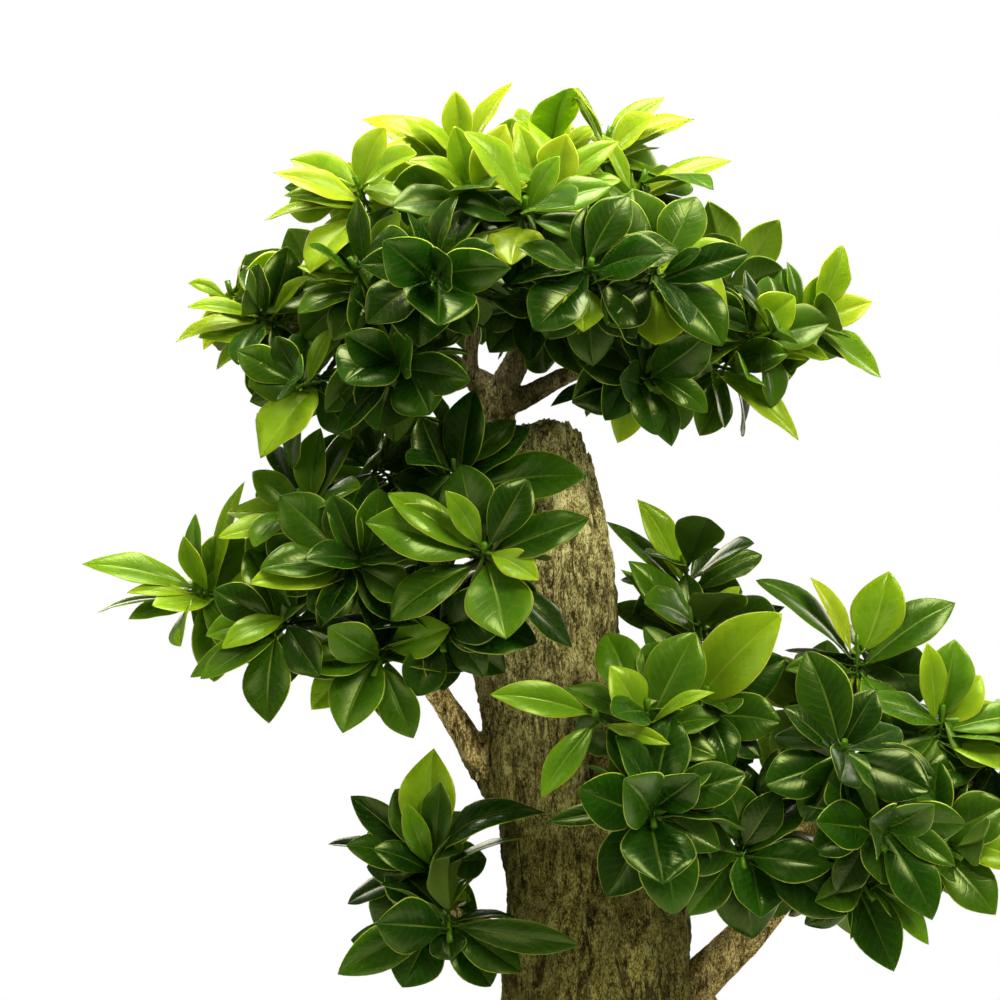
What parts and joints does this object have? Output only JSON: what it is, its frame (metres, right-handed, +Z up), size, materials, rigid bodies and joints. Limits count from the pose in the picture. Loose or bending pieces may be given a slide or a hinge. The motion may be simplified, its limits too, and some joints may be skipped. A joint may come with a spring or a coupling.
{
  "type": "bonsai tree in a pot",
  "caption": "Ficus bonsai with a thick sawn-off trunk, side limbs and leaf pads, growing in soil in a rectangular footed stoneware pot.",
  "frame": {"origin": "on the ground under the four feet, at the middle of the pot's footprint, which is also the middle of the whole object's bounding box", "axes": "+Z up along the trunk, +X to the right as the tree is seen from its front, +Y to its back"},
  "size_m": [0.6253, 0.3525, 0.7924],
  "materials": {
    "stoneware": "unglazed brown stoneware, matt",
    "potting_mix": "damp granular bonsai soil",
    "screen_plastic": "black plastic mesh",
    "bark": "rough grey-brown fissured bark",
    "leaves": "waxy green leaf with a pale rim and midrib"
  },
  "bodies": {
    "root": {"crown_spray_01": "leaves", "crown_spray_02": "leaves", "crown_spray_03": "leaves", "crown_spray_04": "leaves", "crown_spray_05": "leaves", "crown_spray_06": "leaves", "crown_spray_07": "leaves", "crown_spray_08": "leaves", "crown_spray_09": "leaves", "crown_spray_10": "leaves", "crown_spray_11": "leaves", "crown_spray_12": "leaves", "crown_spray_13": "leaves", "crown_spray_14": "leaves", "crown_spray_15": "leaves", "crown_spray_16": "leaves", "crown_spray_17": "leaves", "crown_spray_18": "leaves", "crown_spray_19": "leaves", "crown_spray_20": "leaves", "crown_spray_21": "leaves", "crown_spray_22": "leaves", "crown_spray_23": "leaves", "crown_spray_24": "leaves", "crown_spray_25": "leaves", "crown_spray_26": "leaves", "crown_spray_27": "leaves", "drainage_screen_left": "screen_plastic", "drainage_screen_right": "screen_plastic", "left_spray_01": "leaves", "left_spray_02": "leaves", "left_spray_03": "leaves", "left_spray_04": "leaves", "left_spray_05": "leaves", "left_spray_06": "leaves", "left_spray_07": "leaves", "left_spray_08": "leaves", "left_spray_09": "leaves", "left_spray_10": "leaves", "lower_left_spray_01": "leaves", "lower_left_spray_02": "leaves", "lower_left_spray_03": "leaves", "pot": "stoneware", "right_spray_01": "leaves", "right_spray_02": "leaves", "right_spray_03": "leaves", "right_spray_04": "leaves", "right_spray_05": "leaves", "right_spray_06": "leaves", "right_spray_07": "leaves", "right_spray_08": "leaves", "right_spray_09": "leaves", "right_spray_10": "leaves", "right_spray_11": "leaves", "right_spray_12": "leaves", "right_spray_13": "leaves", "right_spray_14": "leaves", "right_spray_15": "leaves", "soil": "potting_mix", "trunk": "bark"}
  },
  "joints": []
}
